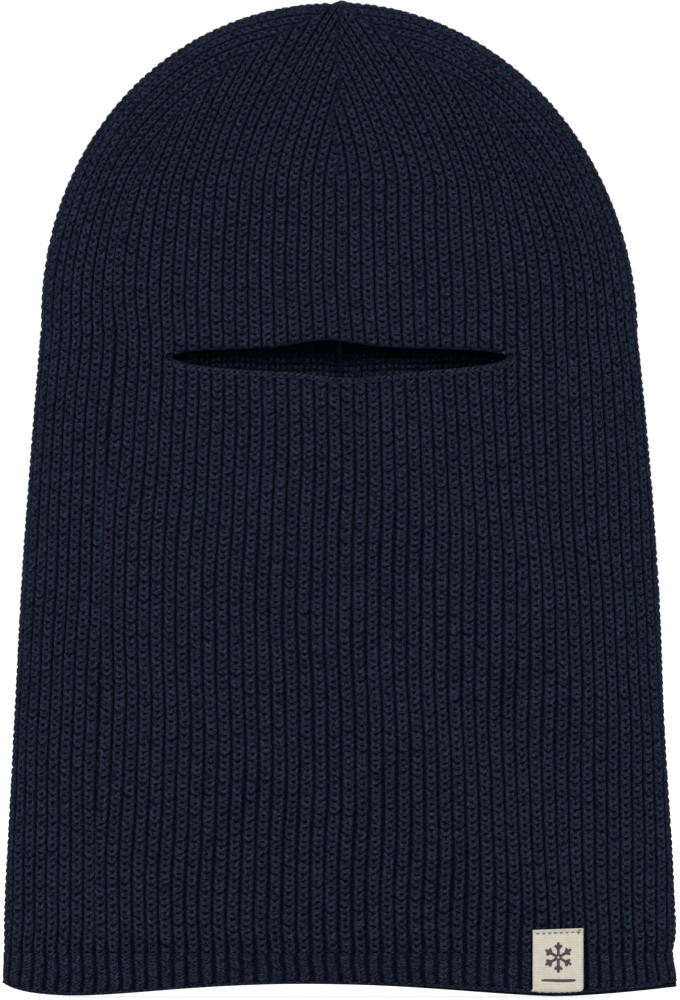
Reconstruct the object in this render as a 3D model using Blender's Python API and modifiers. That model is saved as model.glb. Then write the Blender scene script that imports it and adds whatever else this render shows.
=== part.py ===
"""A rib-knit balaclava with one eye opening, laid out flat and held a little open by the air inside it.

The knit is a tube with a folded edge at each side. It is modelled as the panels, crown gores, hem welts, bound-off
edges, linking seams and labels that it is made up from, each as a closed solid with a small gap to its neighbours.
+Z points to the crown, the face looks along -Y, and +X is on the right of someone who looks at the face.
The origin is the middle of the neck opening, level with the lowest point of the hem.
"""

import math

import bmesh
import bpy
import numpy as np

# Outline of the flat balaclava, in metres.
HEM_HALF_WIDTH = 0.1216
CROWN_HALF_WIDTH = 0.1075
CROWN_LINE = 0.2401
CROWN_HEIGHT = 0.1178
TAPER_POWER = 1.7
CROWN_POWER = 2.05

# Thickness: the air space holds the two faces apart, and the fold at each side is tighter than the wall is thick.
HEM_HALF_DEPTH = 0.0150
FULL_HALF_DEPTH = 0.0220
DEPTH_RISE = 0.150
SECTION_WIDTH_POWER = 2.6
SECTION_DEPTH_POWER = 0.5
WALL = 0.0036
FOLD_WALL = 0.0052

# Hem: the welt band, and the bottom edge that arches up in the middle.
WELT_TOP = 0.0162
HEM_ARCH = 0.0045
HEM_LOW_SHARE = 0.78
FRONT_HEM_RISE = 0.0014
FRONT_HEM_TILT = 0.0012

# Side panels end, towards the middle, at this share of the half width. The crown gores narrow from there to the apex.
EDGE_SHARE = 0.70
EDGE_LEAN = 0.2077
EDGE_CLOSE = 0.0923
EDGE_CLOSE_POWER = 8
GORE_START = math.radians(34.7)
GORE_END = math.radians(89.2)
MIDDLE_GORE_END = math.radians(88.0)

# Eye opening.
SLIT_HEIGHT = 0.2306
SLIT_HALF_WIDTH = 0.0626
LOWER_LIP_DROP = 0.0076
LOWER_LIP_POWER = 0.75
UPPER_LIP_RISE = 0.0030
UPPER_LIP_POWER = 0.4
UPPER_PEAK_RISE = 0.0032
UPPER_PEAK_SHARE = -0.10
UPPER_PEAK_WIDTH = 0.26
EDGE_BAND = 0.0028
BAND_END_SHARE = 0.965
TACK_LENGTH = 0.0060
TACK_HEIGHT = 0.0046
TACK_THICKNESS = 0.0010

# Linking seams inside, and the gathered closing at the apex.
SEAM_RADIUS = 0.0009
SEAM_CLEARANCE = 0.0005
SEAM_END = math.radians(80)
CENTRE_SEAM_SHARE = 0.978
CLOSING_HALF = (0.0030, 0.0024, 0.0008)

# Woven labels.
LABEL_LEFT = 0.0698
LABEL_RIGHT = 0.0882
LABEL_TOP = 0.0250
LABEL_INSIDE_TOP = 0.0200
LABEL_THICKNESS = 0.0005
STITCH_RADIUS = 0.00025
CARE_LEFT = 0.0040
CARE_WIDTH = 0.0250
CARE_HEIGHT = 0.0300
CARE_BOTTOM = 0.0240
CARE_THICKNESS = 0.0004

# Gap between neighbours, and the wider one along the curved line beside the side panels.
GAP = 0.0003
EDGE_GAP = 0.0012

NAVY = (0.012, 0.017, 0.036)
DEEP_NAVY = (0.010, 0.014, 0.031)
ECRU = (0.58, 0.54, 0.46)
CHARCOAL = (0.03, 0.03, 0.035)


def clear_scene():
    """Removes every object, mesh and curve that the scene starts with."""
    for thing in list(bpy.data.objects):
        bpy.data.objects.remove(thing)


def material(name, colour, roughness, metallic=0.0):
    """A Principled material of one colour."""
    made = bpy.data.materials.new(name)
    made.use_nodes = True
    shader = made.node_tree.nodes["Principled BSDF"]
    shader.inputs["Base Color"].default_value = (*colour, 1.0)
    shader.inputs["Roughness"].default_value = roughness
    shader.inputs["Metallic"].default_value = metallic
    made.diffuse_color = (*colour, 1.0)
    return made


# The envelope: the outer face of the knit as one smooth surface.


def half_width(z):
    """Half the width of the flat outline at height z, up to the crown line."""
    below = np.clip((CROWN_LINE - z) / CROWN_LINE, 0, 1)
    return CROWN_HALF_WIDTH + (HEM_HALF_WIDTH - CROWN_HALF_WIDTH) * (1 - (1 - below) ** TAPER_POWER)


def half_depth(z):
    """Half the thickness of the whole balaclava on its middle line at height z, up to the crown line."""
    rise = np.clip(z / DEPTH_RISE, 0, 1)
    return HEM_HALF_DEPTH + (FULL_HALF_DEPTH - HEM_HALF_DEPTH) * rise * rise * (3 - 2 * rise)


def outline_share(across, up):
    """0 on the crown's middle and 1 on its outline, from shares of the half width and of the crown's height."""
    return (np.abs(across) ** CROWN_POWER + up**CROWN_POWER) ** (1 / CROWN_POWER)


def around_crown(angle):
    """(share of the half width, share of the crown's height) of the outline at an angle about the crown's middle."""
    return np.cos(angle) ** (2 / CROWN_POWER), np.sin(angle) ** (2 / CROWN_POWER)


def depth_at(x, z):
    """How far the outer face stands from the middle plane at (x, z): a flattened round section, domed at the crown."""
    up = np.maximum(z - CROWN_LINE, 0) / CROWN_HEIGHT
    share = outline_share(x / half_width(z), up)
    return half_depth(z) * np.maximum(1 - share**SECTION_WIDTH_POWER, 0) ** SECTION_DEPTH_POWER


def facing(x, z, face):
    """Points on the front (face -1) or back (face +1) sheet."""
    x, z = np.broadcast_arrays(np.asarray(x, float), np.asarray(z, float))
    return np.stack([x, face * depth_at(x, z), z], axis=-1)


def around_fold(turn):
    """(share of the width, share of the depth) on the section, turning from the front (+) over the fold (0) to the back."""
    width = np.abs(np.cos(turn)) ** (2 / SECTION_WIDTH_POWER)
    depth = -np.sign(turn) * np.abs(np.sin(turn)) ** (2 * SECTION_DEPTH_POWER)
    return width, depth


def turn_at(share):
    """The turn at which the section reaches this share of its half width."""
    return np.arccos(np.minimum(share, 1) ** (SECTION_WIDTH_POWER / 2))


def lining(points, wall=WALL, fold_wall=FOLD_WALL):
    """The same points on the inner face of the knit."""
    x, y, z = np.moveaxis(points, -1, 0)
    width = half_width(z)
    depth = half_depth(z)
    up = np.maximum(z - CROWN_LINE, 0)
    sunk = up * (CROWN_HEIGHT - fold_wall) / CROWN_HEIGHT - up
    return np.stack([x * (width - fold_wall) / width, y * (depth - wall) / depth, z + sunk], axis=-1)


def gore_edge(angle):
    """(x, z) of the line between a side panel's gore and the middle gores, at an angle about the crown's middle."""
    quarter = angle / (math.pi / 2)
    share = EDGE_SHARE + EDGE_LEAN * quarter + EDGE_CLOSE * quarter**EDGE_CLOSE_POWER
    across, up = around_crown(angle)
    return CROWN_HALF_WIDTH * share * across, CROWN_LINE + CROWN_HEIGHT * share * up


def panel_edge(z):
    """x of the line between the side panels and the middle panels at height z."""
    angles = np.linspace(0, GORE_END, 60)
    x, height = gore_edge(angles)
    return np.where(z <= CROWN_LINE, EDGE_SHARE * half_width(z), np.interp(z, height, x))


def back_hem(x):
    """Height of the back's bottom edge: arched in the middle and a little raised at the corners."""
    return HEM_ARCH * (0.5 + 0.5 * np.cos(math.pi * x / HEM_HALF_WIDTH / HEM_LOW_SHARE))


def front_hem(x):
    """Height of the front's bottom edge, which stops short of the back's, most of all on the right."""
    return back_hem(x) + FRONT_HEM_RISE + FRONT_HEM_TILT * x / HEM_HALF_WIDTH


def lower_lip(x):
    """How far the lower lip of the eye opening hangs under the line between its corners."""
    share = np.minimum(np.abs(x) / SLIT_HALF_WIDTH, 1)
    return LOWER_LIP_DROP * (1 - share**2) ** LOWER_LIP_POWER


def upper_lip(x):
    """How far the upper lip stands above the line between the corners, with its off-centre peak."""
    share = np.clip(x / SLIT_HALF_WIDTH, -1, 1)
    arch = UPPER_LIP_RISE * (1 - share**2) ** UPPER_LIP_POWER
    peak = UPPER_PEAK_RISE * np.exp(-(((share - UPPER_PEAK_SHARE) / UPPER_PEAK_WIDTH) ** 2))
    return arch + peak * (1 - share**2)


def band_height(x):
    """Height of the bound-off band along an edge of the eye opening, running out at the corners."""
    share = np.minimum(np.abs(x) / SLIT_HALF_WIDTH, 1)
    return EDGE_BAND * (1 - share**6)


# Building solids.


def link(name, mesh, finish, smooth=True):
    """A node of the balaclava from a mesh."""
    mesh.materials.append(finish)
    thing = bpy.data.objects.new(name, mesh)
    PARTS.objects.link(thing)
    if smooth:
        mesh.shade_smooth()
        mesh.set_sharp_from_angle(angle=math.radians(50))
    return thing


def grid_faces(rows, columns, start=0):
    """Quads between neighbouring rows of a grid of vertices."""
    corner = start + np.arange(rows - 1)[:, None] * columns + np.arange(columns - 1)
    return np.stack([corner, corner + 1, corner + columns + 1, corner + columns], axis=-1).reshape(-1, 4)


def rim_faces(rows, columns):
    """Quads between the edges of an outer grid and those of the inner grid that follows it."""
    index = np.arange(rows * columns).reshape(rows, columns)
    loop = np.concatenate([index[0, :-1], index[:-1, -1], index[-1, :0:-1], index[:0:-1, 0]])
    ahead = np.roll(loop, -1)
    inner = rows * columns
    return np.stack([ahead, loop, loop + inner, ahead + inner], axis=-1)


def closed_mesh(name, vertices, faces):
    """A mesh with its normals turned outwards."""
    mesh = bpy.data.meshes.new(name)
    mesh.from_pydata(vertices.tolist(), [], faces.tolist())
    work = bmesh.new()
    work.from_mesh(mesh)
    bmesh.ops.recalc_face_normals(work, faces=work.faces)
    work.to_mesh(mesh)
    work.free()
    return mesh


def shell(name, outer, finish, inner=None):
    """A knit panel: the loft between a grid on the outer face and the same grid on the inner face."""
    rows, columns = outer.shape[:2]
    inner = lining(outer) if inner is None else inner
    vertices = np.concatenate([outer.reshape(-1, 3), inner.reshape(-1, 3)])
    lined = grid_faces(rows, columns, rows * columns)[:, ::-1]
    faces = np.concatenate([grid_faces(rows, columns), lined, rim_faces(rows, columns)])
    return link(name, closed_mesh(name, vertices, faces), finish)


def strip(name, grid, thickness, finish):
    """A thin woven or stitched piece: an open sheet with Solidify on both sides of it."""
    rows, columns = grid.shape[:2]
    mesh = bpy.data.meshes.new(name)
    mesh.from_pydata(grid.reshape(-1, 3).tolist(), [], grid_faces(rows, columns).tolist())
    thing = link(name, mesh, finish)
    solid = thing.modifiers.new("thickness", "SOLIDIFY")
    solid.thickness = thickness
    solid.offset = 0
    return thing


def yarn(name, points, radius, finish):
    """A yarn or seam that follows points, as a bevelled curve with closed ends."""
    curve = bpy.data.curves.new(name, "CURVE")
    curve.dimensions = "3D"
    curve.bevel_depth = radius
    curve.bevel_resolution = 2
    curve.use_fill_caps = True
    line = curve.splines.new("POLY")
    line.points.add(len(points) - 1)
    for at, point in zip(line.points, points):
        at.co = (*point, 1.0)
    curve.materials.append(finish)
    thing = bpy.data.objects.new(name, curve)
    PARTS.objects.link(thing)
    return thing


# Knit panels of the tube.


def middle_grid(low, high, face, rows, columns):
    """A grid between the side panels, from the height low(x) to the height high(x)."""
    across = np.linspace(-1, 1, columns)
    grid = []
    for up in np.linspace(0, 1, rows):
        middle = low(0.0) + (high(0.0) - low(0.0)) * up
        near = across * (panel_edge(middle) - EDGE_GAP / 2)
        z = low(near) + (high(near) - low(near)) * up
        x = across * (panel_edge(z) - EDGE_GAP / 2)
        grid.append(facing(x, z, face))
    return np.array(grid)


def welt_top(x):
    return np.full_like(np.asarray(x, float), WELT_TOP + GAP / 2)


def gore_base(x):
    return np.full_like(np.asarray(x, float), gore_edge(GORE_START)[1] - GAP / 2)


def under_slit(x):
    return SLIT_HEIGHT - GAP - lower_lip(x) - band_height(x)


def over_slit(x):
    return SLIT_HEIGHT + GAP + upper_lip(x) + band_height(x)


def make_middle_panels(knit):
    shell("face_panel", middle_grid(welt_top, under_slit, -1, 12, 25), knit)
    shell("forehead_panel", middle_grid(over_slit, gore_base, -1, 6, 25), knit)
    shell("back_panel", middle_grid(welt_top, gore_base, 1, 16, 15), knit)


def make_side_panel(name, side, knit):
    """The panel that is folded along the edge of the flat balaclava, from the welt to the crown line."""
    grid = []
    for z in np.linspace(WELT_TOP + GAP / 2, CROWN_LINE - GAP / 2, 12):
        width = half_width(z)
        reach = turn_at((panel_edge(z) + EDGE_GAP / 2) / width)
        across, deep = around_fold(np.linspace(reach, -reach, 15))
        row = np.stack([side * width * across, half_depth(z) * deep, np.full(15, z)], axis=-1)
        grid.append(row)
    shell(name, np.array(grid), knit)


def make_side_gore(name, side, knit):
    """The same panel over the crown: its rows fan about the crown's middle, and its wales follow the outline."""
    grid = []
    for angle in np.linspace(0.0015, GORE_END, 13):
        x, z = gore_edge(angle)
        share = outline_share(x / CROWN_HALF_WIDTH, (z - CROWN_LINE) / CROWN_HEIGHT)
        share += EDGE_GAP / 2 / CROWN_HALF_WIDTH
        reach = turn_at(share)
        out, deep = around_fold(np.linspace(reach, -reach, 13))
        across, up = around_crown(angle)
        row_x = side * CROWN_HALF_WIDTH * out * across
        row_z = CROWN_LINE + CROWN_HEIGHT * out * up + GAP / 2
        grid.append(np.stack([row_x, FULL_HALF_DEPTH * deep, row_z], axis=-1))
    shell(name, np.array(grid), knit)


def make_middle_gore(name, side, face, knit):
    """A gore between the middle line of the crown and a side gore."""
    grid = []
    for angle in np.linspace(GORE_START, MIDDLE_GORE_END, 10):
        edge, z = gore_edge(angle)
        x = side * np.linspace(GAP / 2, edge - EDGE_GAP / 2, 7)
        grid.append(facing(x, z + GAP / 2, face))
    shell(name, np.array(grid), knit)


def make_welt(name, face, hem, knit):
    """Half of the hem band, from fold to fold."""
    turns = np.linspace(math.radians(0.8), math.radians(179.2), 33)
    grid = []
    for up in np.linspace(0, 1, 3):
        width_share = np.sign(np.cos(turns)) * np.abs(np.cos(turns)) ** (2 / SECTION_WIDTH_POWER)
        x = HEM_HALF_WIDTH * width_share
        bottom = hem(x)
        z = bottom + (WELT_TOP - GAP / 2 - bottom) * up
        x = half_width(z) * width_share
        y = face * half_depth(z) * np.abs(np.sin(turns)) ** (2 * SECTION_DEPTH_POWER)
        grid.append(np.stack([x, y, z], axis=-1))
    shell(name, np.array(grid), knit)


# The eye opening.


def make_eye_band(name, lip, sign, knit):
    """The bound-off band along one edge of the eye opening: sign -1 under the opening, +1 over it."""
    x = np.linspace(-BAND_END_SHARE, BAND_END_SHARE, 27) * SLIT_HALF_WIDTH
    rows = []
    for up in (0.0, 1.0):
        reach = GAP / 2 + lip(x) + (band_height(x) - GAP) * up
        rows.append(facing(x, SLIT_HEIGHT + sign * reach, -1))
    shell(name, np.array(rows), knit)


def make_corner_tack(name, side, thread):
    """The bar of thread that stops the eye opening from tearing at its corner."""
    x = side * np.linspace(SLIT_HALF_WIDTH + GAP, SLIT_HALF_WIDTH + TACK_LENGTH, 4)
    grid = []
    for z in np.linspace(SLIT_HEIGHT - TACK_HEIGHT / 2, SLIT_HEIGHT + TACK_HEIGHT / 2, 3):
        row = facing(x, z, -1)
        row[:, 1] -= GAP + TACK_THICKNESS / 2
        grid.append(row)
    strip(name, np.array(grid), TACK_THICKNESS, thread)


# Linking seams inside the crown and down the back.


def seam_path(points):
    """Points on the outer face, moved in past the wall to where a seam ridge lies."""
    inset = SEAM_CLEARANCE + SEAM_RADIUS
    return lining(points, WALL + inset, FOLD_WALL + inset)


def make_gore_seam(name, side, face, yarn_finish):
    x, z = gore_edge(np.linspace(GORE_START, SEAM_END, 14))
    yarn(name, seam_path(facing(side * x, z, face)), SEAM_RADIUS, yarn_finish)


def make_middle_seam(name, face, low, high, steps, yarn_finish):
    z = np.linspace(low, high, steps)
    yarn(name, seam_path(facing(np.zeros(steps), z, face)), SEAM_RADIUS, yarn_finish)


def make_closing(knit):
    """The last stitches of the gores, gathered on one yarn at the apex."""
    bpy.ops.mesh.primitive_uv_sphere_add(segments=16, ring_count=8, radius=1)
    thing = bpy.context.object
    for owner in list(thing.users_collection):
        owner.objects.unlink(thing)
    PARTS.objects.link(thing)
    thing.name = "crown_closing"
    for vertex in thing.data.vertices:
        vertex.co = [at * half for at, half in zip(vertex.co, CLOSING_HALF)]
    thing.location = (0, 0, CROWN_LINE + CROWN_HEIGHT + GAP + CLOSING_HALF[2])
    thing.data.materials.append(knit)
    thing.data.shade_smooth()


# Labels.


def label_rows(x):
    """Rows of the folded label: down the front of the welt, under the hem and up its inside."""
    off = GAP + LABEL_THICKNESS / 2
    hem = front_hem(x)
    rows = []
    for up in np.linspace(1, 0, 6):
        z = hem + (LABEL_TOP - hem) * up
        row = facing(x, z, -1)
        row[:, 1] -= off
        rows.append(row)
    front = facing(x, hem, -1)
    back = lining(front)
    for share in (0.0, 0.5, 1.0):
        row = front + (back - front) * share
        row[:, 2] = hem - off
        rows.append(row)
    for up in np.linspace(0, 1, 5):
        row = lining(facing(x, hem + (LABEL_INSIDE_TOP - hem) * up, -1))
        row[:, 1] += off
        rows.append(row)
    return np.array(rows)


def make_brand_label(weave):
    x = np.linspace(LABEL_LEFT, LABEL_RIGHT, 5)
    strip("brand_label", label_rows(x), LABEL_THICKNESS, weave)


def make_label_stitches(thread):
    x = np.linspace(LABEL_LEFT + 0.001, LABEL_RIGHT - 0.001, 8)
    points = facing(x, LABEL_TOP - 0.0012, -1)
    points[:, 1] -= GAP + LABEL_THICKNESS + GAP + STITCH_RADIUS
    yarn("label_stitches", points, STITCH_RADIUS, thread)


def make_care_label(weave):
    """The small plain label sewn flat to the inside of the back, beside the seam."""
    x = np.linspace(CARE_LEFT, CARE_LEFT + CARE_WIDTH, 5)
    grid = []
    for z in np.linspace(CARE_BOTTOM, CARE_BOTTOM + CARE_HEIGHT, 5):
        row = lining(facing(x, z, 1))
        row[:, 1] -= GAP + CARE_THICKNESS
        grid.append(row)
    strip("care_label", np.array(grid), CARE_THICKNESS, weave)


def build():
    knit = material("navy_rib_knit", NAVY, 0.95)
    welt = material("navy_hem_welt", NAVY, 0.95)
    band = material("navy_edge_band", NAVY, 0.95)
    seam = material("navy_linking_yarn", DEEP_NAVY, 0.9)
    tack = material("navy_tack_thread", DEEP_NAVY, 0.7)
    weave = material("ecru_woven_label", ECRU, 0.85)
    thread = material("charcoal_sewing_thread", CHARCOAL, 0.6)

    make_middle_panels(knit)
    for side, word in ((-1, "left"), (1, "right")):
        make_side_panel(f"side_panel_{word}", side, knit)
        make_side_gore(f"side_gore_{word}", side, knit)
        make_corner_tack(f"eye_corner_tack_{word}", side, tack)
        for face, place in ((-1, "front"), (1, "back")):
            make_middle_gore(f"{place}_{word}_gore", side, face, knit)
            make_gore_seam(f"{place}_{word}_crown_seam", side, face, seam)
    make_welt("hem_welt_front", -1, front_hem, welt)
    make_welt("hem_welt_back", 1, back_hem, welt)
    make_eye_band("eye_edge_lower", lower_lip, -1, band)
    make_eye_band("eye_edge_upper", upper_lip, 1, band)
    apex = CROWN_LINE + CROWN_HEIGHT * CENTRE_SEAM_SHARE
    base = gore_edge(GORE_START)[1]
    make_middle_seam("centre_front_crown_seam", -1, base, apex, 12, seam)
    make_middle_seam("centre_back_crown_seam", 1, base, apex, 12, seam)
    make_middle_seam("centre_back_seam", 1, WELT_TOP, base - 0.003, 14, seam)
    make_closing(knit)
    make_brand_label(weave)
    make_label_stitches(thread)
    make_care_label(weave)


clear_scene()
PARTS = bpy.data.collections.new("balaclava")
bpy.context.scene.collection.children.link(PARTS)
build()
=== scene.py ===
"""The looks of a chunky rib-knit balaclava: every rib and stitch, the labels, the studio and the camera.

The hood stands open and upright. Its outer face follows the CAD envelope, and the fabric is built on it in
knitting coordinates: the rib number r runs once round the hood, from the left fold across the front to the right
fold at 52 and back behind to 104, and the course number c counts rows of stitches upwards from the hem welt.
"""

import math

import bpy
import numpy as np
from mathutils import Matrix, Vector


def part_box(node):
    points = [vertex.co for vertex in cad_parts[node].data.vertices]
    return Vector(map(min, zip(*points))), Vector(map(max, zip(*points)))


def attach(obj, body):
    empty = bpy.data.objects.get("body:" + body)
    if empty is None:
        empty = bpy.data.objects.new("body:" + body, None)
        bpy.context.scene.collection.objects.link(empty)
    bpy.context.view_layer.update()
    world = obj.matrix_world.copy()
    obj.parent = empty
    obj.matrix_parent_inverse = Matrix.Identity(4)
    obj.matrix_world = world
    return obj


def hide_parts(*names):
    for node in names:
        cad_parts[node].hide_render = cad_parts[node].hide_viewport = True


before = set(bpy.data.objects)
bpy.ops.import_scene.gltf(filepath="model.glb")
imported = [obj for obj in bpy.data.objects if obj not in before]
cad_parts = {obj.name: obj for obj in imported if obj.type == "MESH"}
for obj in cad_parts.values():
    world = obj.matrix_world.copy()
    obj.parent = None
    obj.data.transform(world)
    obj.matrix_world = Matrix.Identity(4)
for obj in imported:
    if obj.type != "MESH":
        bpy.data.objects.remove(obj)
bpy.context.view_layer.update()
MM = 0.001

# Lengths are in metres unless a comment says mm. The words after a tuple name its numbers.

# Envelope: its size comes from the CAD nodes.
HEM_HALF_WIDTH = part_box("hem_welt_back")[1][0]
CROWN_HALF_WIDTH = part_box("side_gore_right")[1][0]
CROWN_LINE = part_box("side_panel_left")[1][2]
CROWN_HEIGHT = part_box("side_gore_left")[1][2] - CROWN_LINE
APEX = CROWN_LINE + CROWN_HEIGHT
FULL_HALF_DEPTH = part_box("back_panel")[1][1]
HEM_HALF_DEPTH = 0.0150
DEPTH_RISE = 0.150  # the height at which the hood reaches its full depth
TAPER_POWER = 1.6
WAIST = (0.0010, 0.092, 0.040)  # depth, height, spread
CROWN_POWER = 2.02
SECTION_POWER = 2.6
WALL = 0.0034
FOLD_WALL = 0.0050
LOFT = 0.0001  # how far the stitches stand over the envelope
LEAN_TOP = 0.0019  # how far the apex stands to the left
LEAN_START = 0.230

# Crown shaping.
EDGE_CLOSE = 0.0923
EDGE_CLOSE_POWER = 8
GORE_START = math.radians(34.7)
GORE_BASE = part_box("front_left_gore")[0][2]
CROWN_NARROWING = 0.05
CROWDING_POWER = 4
SETTLING = 0.012
GORE_TRIM = 0.0002
MIDDLE_LEAN = (0.030, 1.5)  # reach, power
CENTRE_WANDER = 0.0028
CLOSING_X = 0.0008
CLOSING_STRANDS = 10
CLOSING_REACH = 0.0046

# Eye opening.
SLIT_HEIGHT = (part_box("eye_corner_tack_left")[0][2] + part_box("eye_corner_tack_left")[1][2]) / 2
SLIT_HALF_WIDTH = 0.0626
LOWER_LIP = (0.0058, 0.45)  # bow, power
LOWER_DIP = (0.0019, 0.08, 0.28)  # extra bow, its middle and its spread as shares
UPPER_LIP = (0.0030, 0.4)
UPPER_PEAK = (0.0027, -0.08, 0.24)
LIP_BAND_COURSES = 1.0
LIP_STITCHES = 54
LOWER_ROLL = 0.0008  # how far a lip turns in
UPPER_ROLL = 0.0017
ROLLED_EDGE_SINK = 0.0034
INSIDE_SHADE = (0.0015, 0.0042)  # painted shadow of the upper lip on the back: its start over the corners, its fading height

# Hem.
WELT_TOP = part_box("hem_welt_back")[1][2]
HEM_ARCH = (0.0043, -0.065, 0.735, 0.7)  # height, middle and half span as shares, power
HEM_LIFT_LEFT = (0.0006, 0.5)  # lift, share at which it is full
FRONT_HEM_RISE = 0.0010
FRONT_HEM_TILT = 0.0010
PINCH = (0.0105, 0.0150, 0.0048)  # share of the width, height, spread
CORNER_LEFT = (0.0032, 20)  # rise, power
CORNER_RIGHT = (0.0014, 6)
CAST_ON_STITCHES = 112
CAST_ON_ROWS = (-0.1, 0.85)  # courses from the free edge

# Labels.
LABEL_WIDTH = 0.0182
LABEL_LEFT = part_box("brand_label")[1][0] - LABEL_WIDTH - 0.0007
LABEL_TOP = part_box("brand_label")[1][2]
CARE_LOW, CARE_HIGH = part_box("care_label")
LABEL_THICKNESS = 0.0004
LABEL_STAND = 0.0007  # how far the label stands over the stitches
LABEL_TILT = 0.035
LABEL_FOLD = 0.0014
LABEL_TUCK = 0.020  # the height its inner end reaches
CRYSTAL_CENTRE = (9.2, 12.6)  # mm from the label's lower left
CRYSTAL_ARM = (0.4, 5.4)  # from, to, in mm from the centre
CRYSTAL_BRANCH = (3.0, 1.8)  # start, length, in mm
MOTIF_BAR = (3.0, 15.4, 4.4)  # from, to, height, in mm

# Knitting.
RIBS = 104
QUARTER = 26
SIDE_RIBS = 8
FACE_COURSES = 89
SIDE_COURSES = 88
GORE_COURSES = 28
BACK_COURSES = 116
FOREHEAD_COURSES = 26
SIDE_GORE_COURSES = 59
WELT_COURSES = 12
BACK_CUTS = (0, 82, 98, BACK_COURSES)  # the middle part is seen through the eye opening
EDGE_TIGHTNESS = 0.16  # how much narrower a rib is at the fold
HALF_RIB = [0.2, 0.38, 0.58, 0.78, 0.9, 1]
ACROSS = np.array([-share for share in reversed(HALF_RIB)] + [0] + HALF_RIB)
ALONG = 8  # rows of points to a stitch
LINING_ACROSS = np.array([-1, -0.5, 0, 0.5, 1])
LINING_ALONG = 2
THREAD_SIDES = 8
THREAD_END = 0.55  # a thread's end is this share of its thickness

# A column of stitches, in mm: course height, half width of the rib and of the V, how far the V climbs and the power
# of its curve, half the yarn's width at the V's tip and at its sides, half width of the eye over the tip, height of
# the yarn, depth of the eye, depth of the valley between two ribs and drop of the rib's shoulders.
MAIN = dict(course=2.37, body=2.00, span=1.95, climb=1.45, power=1.4, thin=0.76, thick=1.24, eye=0.62, crest=0.95)
MAIN |= dict(pit=1.55, valley=2.30, shoulder=1.6, purl=0.12, grain=0.12)
WELT = dict(course=1.25, body=1.66, span=1.60, climb=1.35, power=1.1, thin=0.40, thick=0.57, eye=0.28, crest=0.55)
WELT |= dict(pit=0.95, valley=1.65, shoulder=1.2, purl=0.22, grain=0.12)
CHAIN = dict(MAIN, course=2.30, body=1.30, span=1.3, climb=1.3, thin=0.75, thick=1.10, eye=0.40, crest=0.9)
CHAIN |= dict(pit=1.2, valley=1.5, shoulder=1.0, grain=0.20)
RIB_SHARE = 0.86  # a rib fills at most this share of the distance between two grooves
DRAW_IN = (0.2, 0.007)  # how much the ribs narrow at the welt, and within what height
ROUNDNESS = 3.4
SWELL = (0.07, 0.05, 0.06)  # mm: two slow changes of a rib's width, and its bulge at each stitch
LIFT = 0.16  # mm: the slow rise and fall of a rib
UNEVEN = dict(lift=0.10, slant=0.11, size=0.30, shift=0.22)  # shares of a course or of the eye
EYE_SHADE = (0.15, 0.10)  # mm: painted shade of the eyes and grooves: where a point starts to be lit, and where it is fully lit
SPECKLE = 0.40
PURL = dict(height=0.9, grain=0.15, closed=0.12, speckle=0.3, dark=0.05)  # bumps of the inside, the first two in mm; closed is the painted shade between bumps, dark the lowest share under the painted shadow of the upper lip

# The edges of a strip of knit.
SEAM_SPREAD = 0.0007
SEAM_DEPTH = 0.9  # mm
# Painted shade along the gore seams: the share of the yarn's colour left there.
SEAM_PAINTED_SHADE = 0.25
DEEPEST_FLAT = 0.5  # mm: deeper relief fades near the sharp edge of the crown
EDGE_SHADE = (0.0008, 0.0020)  # spread of the painted shade at a free edge, outside and inside
EDGE_ROUNDING = (0.0013, 0.0014)  # outside and inside
ROLL_SPREAD = 0.0022
LINING_WAVE = (1.6, -1.0)  # mm: at the grooves and in between
# Painted shade on the ribs' backs inside: the share of colour mid-rib, and what is added towards the grooves.
LINING_PAINTED_SHADE = (0.35, 0.5)

# Threads: half width and half thickness.
TACK_THREAD = (0.00026, 0.00024)
CLOSING_YARN = (0.00062, 0.00055)
RIDGE_YARN = (0.0009, 0.0007)
MOTIF_THREAD = (0.00052, 0.00016)
LABEL_THREAD = (0.00017, 0.00015)

# Linear colours.
NAVY = (0.0092, 0.0104, 0.0170)
NAVY_DEEP = (0, 0.0012, 0.0050)  # the blue added all over, which stays where the painted shade darkens the grooves
NAVY_INSIDE_PAINTED_LIGHT = (0.0430, 0.0555, 0.0960)  # painted light: a copy of the navy about five times lighter, because it is only seen in the dark of the eye opening
NAVY_THREAD = (0.005, 0.007, 0.015)
CHARCOAL = (0.045, 0.036, 0.042)
TAUPE = (0.085, 0.078, 0.070)
ECRU = (0.385, 0.365, 0.305)
WHITE_TAPE = (0.50, 0.49, 0.47)
HUE_LEAN = (0.18, -0.07, 0.04)  # how far the yarn leans from teal to plum

# Noises of the yarn: scale, detail, lowest and highest value.
FLECKS = (1200, 2, 0.12, 1.98)
FINE_FLECKS = (2600, 1, 0.45, 1.65)
HUES = (320, 2, -1, 1)
FIBRES = (2400, 2, 0, 1)

# Studio and camera.
FLOOR_RADIUS = 12
PAPER = (0.30, 0.85)  # colour, glow
AIM = (0, 0, 0.18)
SOFTBOXES = (  # name, place, size, watts
    ("key_softbox", (-1.3, -2.2, 1.1), 1.1, 44),
    ("fill_softbox", (1.7, -2.2, 0.8), 1.3, 28),
    ("top_softbox", (0.0, 0.1, 2.2), 1.2, 4),
    ("back_softbox", (1.5, 2.4, 1.5), 1.2, 80),
)
CAMERA_DISTANCE = 6.0
CAMERA_CENTRE = (0.0001, 0.1789)
VIEW_HEIGHT = 0.360

dice = np.random.default_rng(20)
STITCHES = 256
JITTER = dice.uniform(-1, 1, (4, STITCHES, RIBS))
RIB_PHASE = dice.uniform(-0.12, 0.12, RIBS)
RIB_SWAY = dice.uniform(0, 2 * math.pi, (3, RIBS))


# The envelope.


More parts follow.
